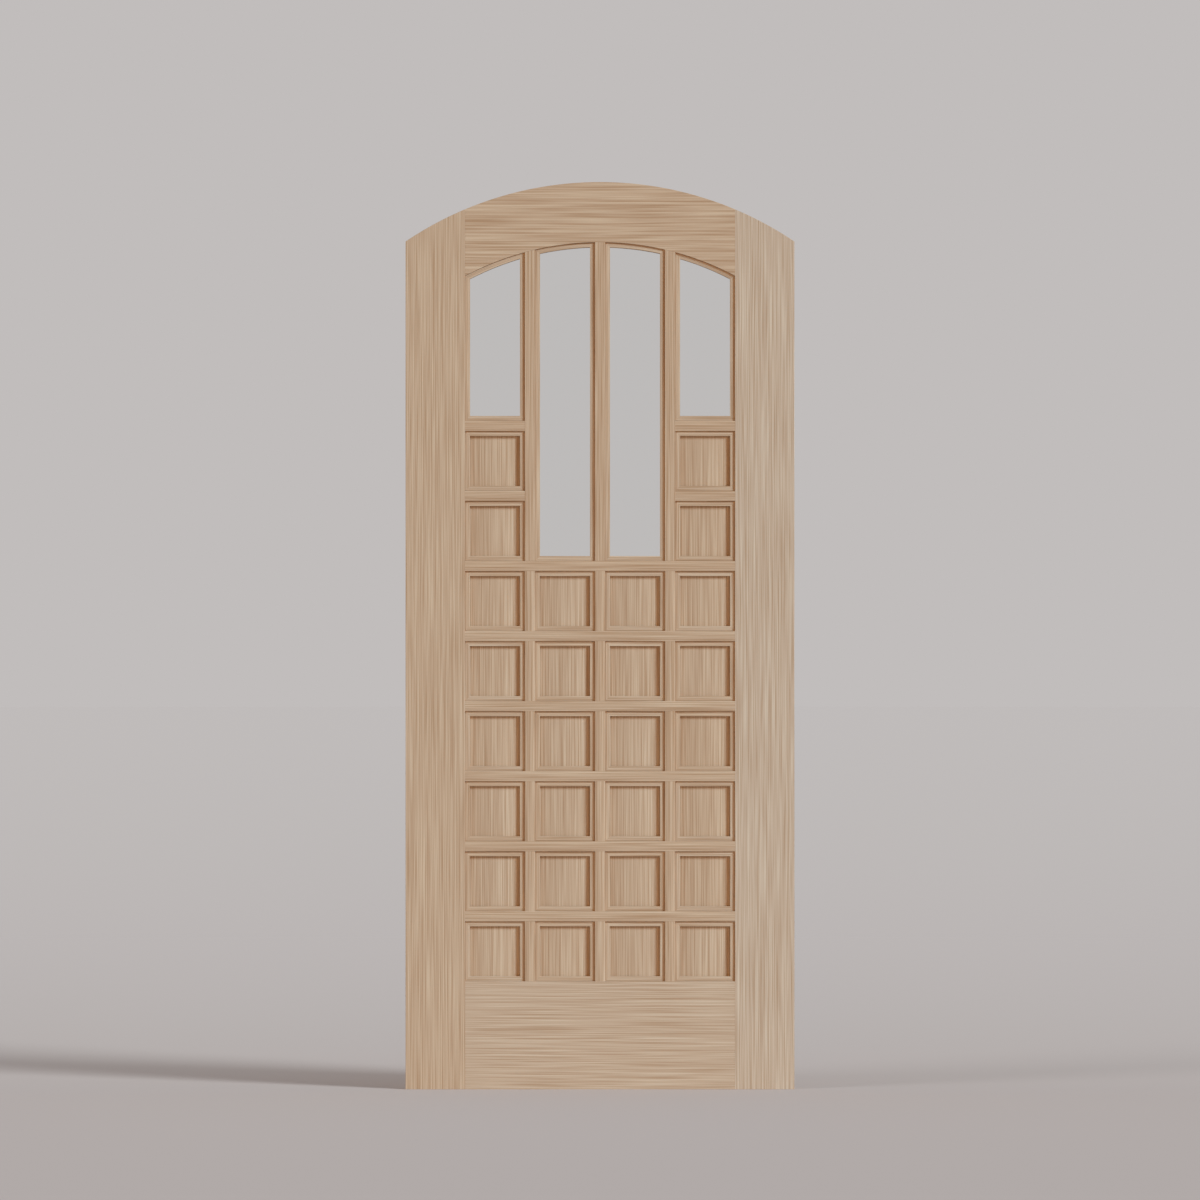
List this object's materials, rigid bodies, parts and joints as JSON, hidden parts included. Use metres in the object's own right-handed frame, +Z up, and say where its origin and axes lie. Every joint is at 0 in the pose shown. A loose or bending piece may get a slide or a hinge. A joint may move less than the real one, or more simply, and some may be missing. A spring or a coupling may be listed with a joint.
{
  "type": "half glazed door leaf",
  "caption": "Arched-top timber door leaf, half glazed: a grid of flat square panels held by set-back beads fills the lower part, and clear panes rise between slim bars to the arch.",
  "frame": {"origin": "middle of the bottom edge, at mid thickness, where the leaf stands on the floor", "axes": "+Z up, +X to the right as seen from the front, +Y through the thickness: the front faces -Y"},
  "size_m": [0.9144, 0.0444, 2.1335],
  "materials": {
    "upright_timber": "clear matt oil, grain upright",
    "level_timber": "clear matt oil, grain level",
    "panel_timber": "clear matt oil, grain upright",
    "clear_glass": "clear float"
  },
  "bodies": {
    "root": {"back_bottom_beads": "level_timber", "back_left_beads": "upright_timber", "back_right_beads": "upright_timber", "back_top_beads": "level_timber", "bottom_rail": "level_timber", "centre_mullion": "upright_timber", "cross_rail_1": "level_timber", "cross_rail_2": "level_timber", "cross_rail_3": "level_timber", "cross_rail_4": "level_timber", "cross_rail_5": "level_timber", "cross_rail_6": "level_timber", "front_bottom_beads": "level_timber", "front_left_beads": "upright_timber", "front_right_beads": "upright_timber", "front_top_beads": "level_timber", "left_lower_side_bar": "level_timber", "left_mullion": "upright_timber", "left_side_pane": "clear_glass", "left_stile": "upright_timber", "left_tall_pane": "clear_glass", "left_upper_side_bar": "level_timber", "muntins_row_1": "upright_timber", "muntins_row_2": "upright_timber", "muntins_row_3": "upright_timber", "muntins_row_4": "upright_timber", "muntins_row_5": "upright_timber", "muntins_row_6": "upright_timber", "panels_row_1": "panel_timber", "panels_row_2": "panel_timber", "panels_row_3": "panel_timber", "panels_row_4": "panel_timber", "panels_row_5": "panel_timber", "panels_row_6": "panel_timber", "panels_row_7": "panel_timber", "panels_row_8": "panel_timber", "right_lower_side_bar": "level_timber", "right_mullion": "upright_timber", "right_side_pane": "clear_glass", "right_stile": "upright_timber", "right_tall_pane": "clear_glass", "right_upper_side_bar": "level_timber", "top_rail": "level_timber"}
  },
  "joints": []
}
